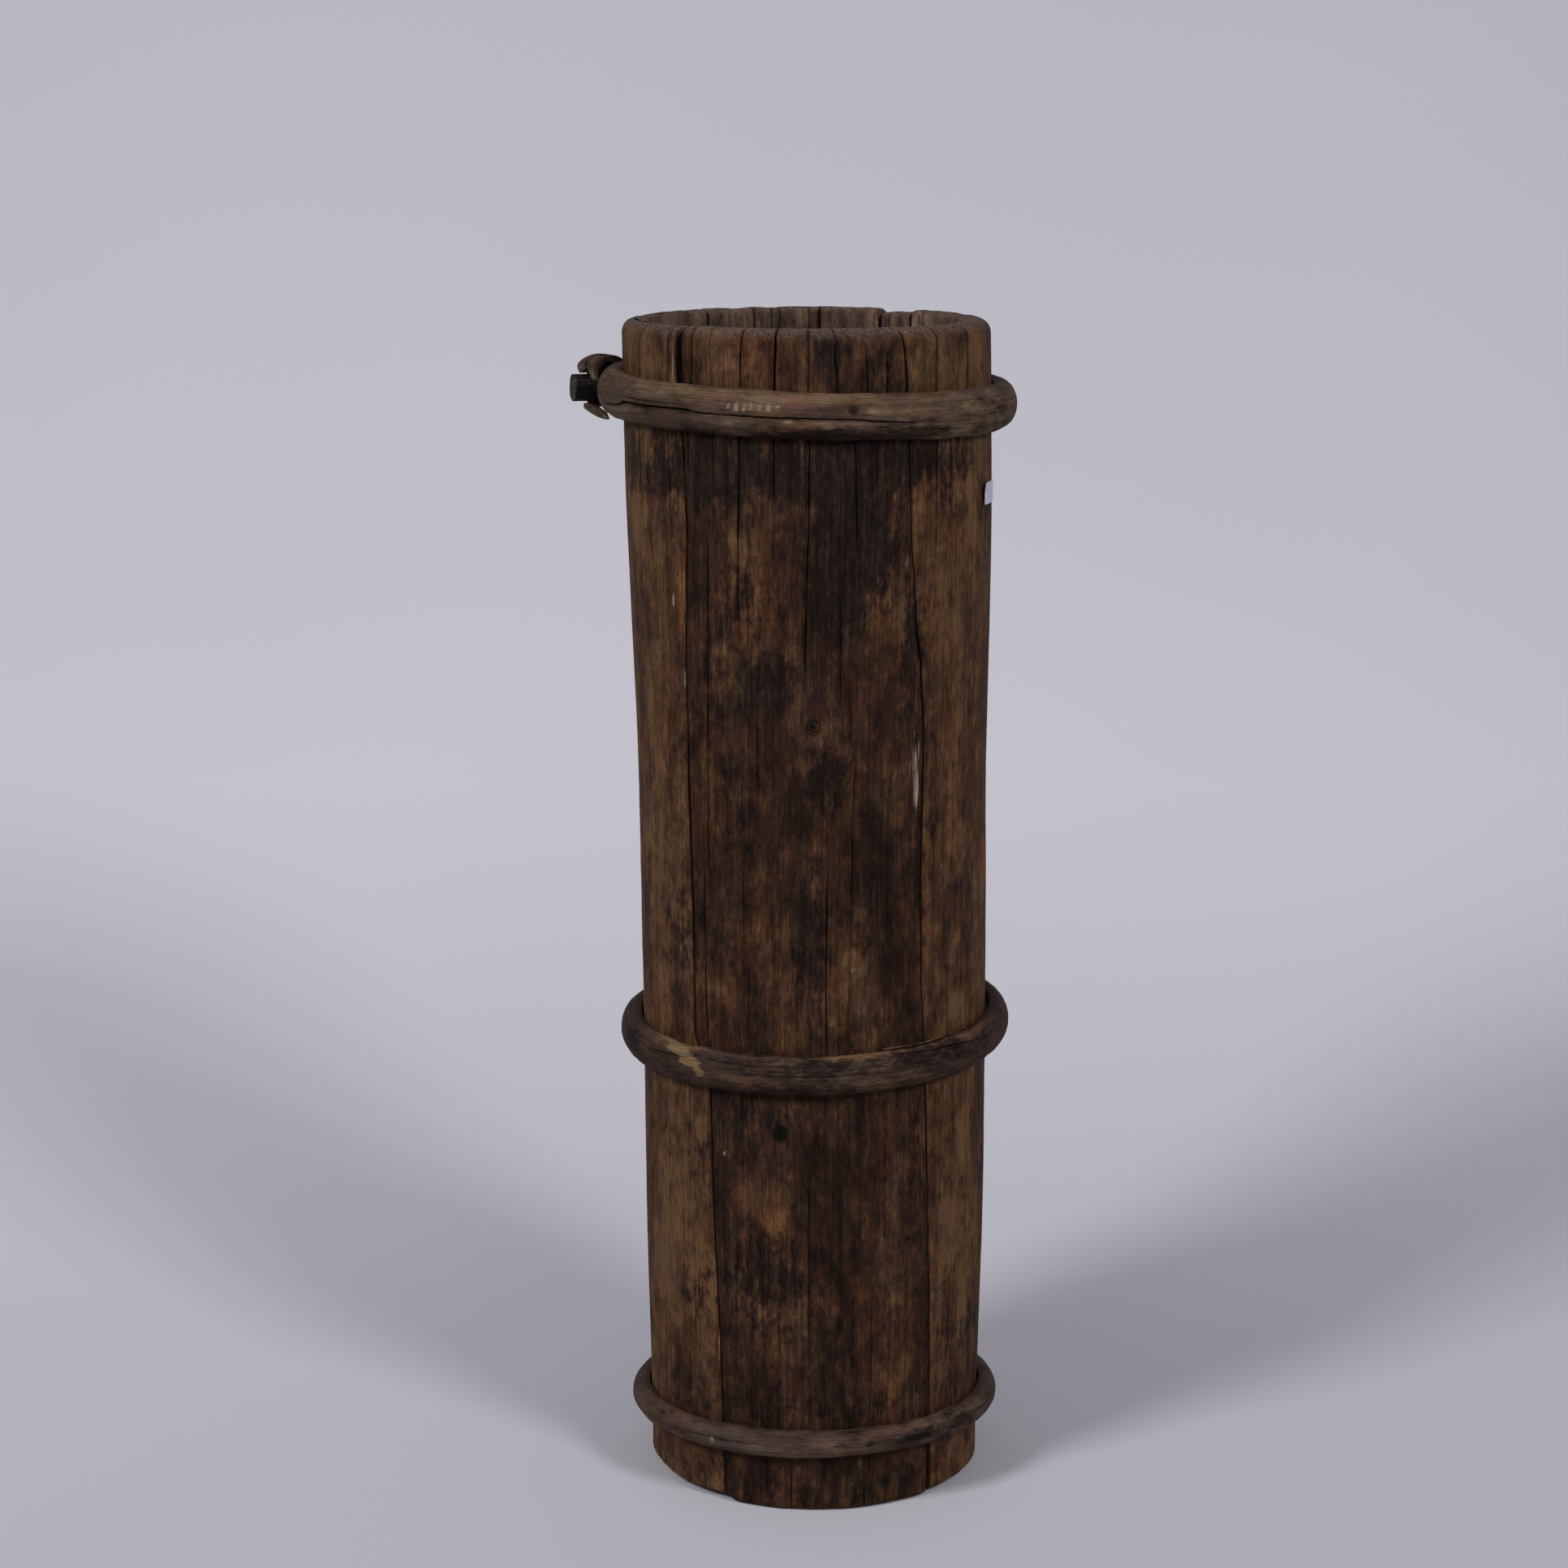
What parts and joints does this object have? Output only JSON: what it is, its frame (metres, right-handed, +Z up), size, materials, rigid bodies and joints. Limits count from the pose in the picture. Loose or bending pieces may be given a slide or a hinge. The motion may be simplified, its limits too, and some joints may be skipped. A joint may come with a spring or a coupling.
{
  "type": "butter churn",
  "caption": "Tall open wooden butter churn: wide riven staves round a bottom board, held by bent split-sapling hoops with lapped ends locked by pegs.",
  "frame": {"origin": "on the floor, at the middle of the whole object's footprint, hoop lap and peg head included", "axes": "+Z up along the churn, -Y towards the front, +X to the right seen from the front, so that the top hoop's peg points towards -X"},
  "size_m": [0.2496, 0.231, 0.66],
  "materials": {
    "stave_wood": "aged, stained and weathered softwood with drying cracks",
    "board_wood": "aged softwood, dull",
    "hoop_wood": "grey-brown debarked sapling, worn smooth",
    "peg_wood": "dark grey whittled wood",
    "label_paper": "plain white paper, matt"
  },
  "bodies": {
    "tub": {"stave_front": "stave_wood", "stave_right": "stave_wood", "stave_filler": "stave_wood", "stave_back": "stave_wood", "stave_left": "stave_wood", "bottom_board": "board_wood", "paper_label": "label_paper"},
    "top_hoop": {"hoop_top": "hoop_wood"},
    "middle_hoop": {"hoop_middle": "hoop_wood"},
    "bottom_hoop": {"hoop_bottom": "hoop_wood"},
    "top_peg": {"peg_top": "peg_wood"},
    "middle_peg": {"peg_middle": "peg_wood"},
    "bottom_peg": {"peg_bottom": "peg_wood"}
  },
  "joints": [
    {"name": "top_hoop_slide", "type": "slide", "parent": "tub", "child": "top_hoop", "axis": [0, 0, -1], "range_m": [0, 0.31]},
    {"name": "middle_hoop_slide", "type": "slide", "parent": "tub", "child": "middle_hoop", "axis": [0, 0, -1], "range_m": [0, 0.19]},
    {"name": "bottom_hoop_slide", "type": "slide", "parent": "tub", "child": "bottom_hoop", "axis": [0, 0, -1], "range_m": [0, 0.025]},
    {"name": "top_peg_pull", "type": "slide", "parent": "top_hoop", "child": "top_peg", "axis": [-0.9589, -0.2837, 0], "range_m": [0, 0.03]},
    {"name": "middle_peg_pull", "type": "slide", "parent": "middle_hoop", "child": "middle_peg", "axis": [0.336, 0.9419, 0], "range_m": [0, 0.025]},
    {"name": "bottom_peg_pull", "type": "slide", "parent": "bottom_hoop", "child": "bottom_peg", "axis": [-0.2387, 0.9711, 0], "range_m": [0, 0.022]}
  ]
}
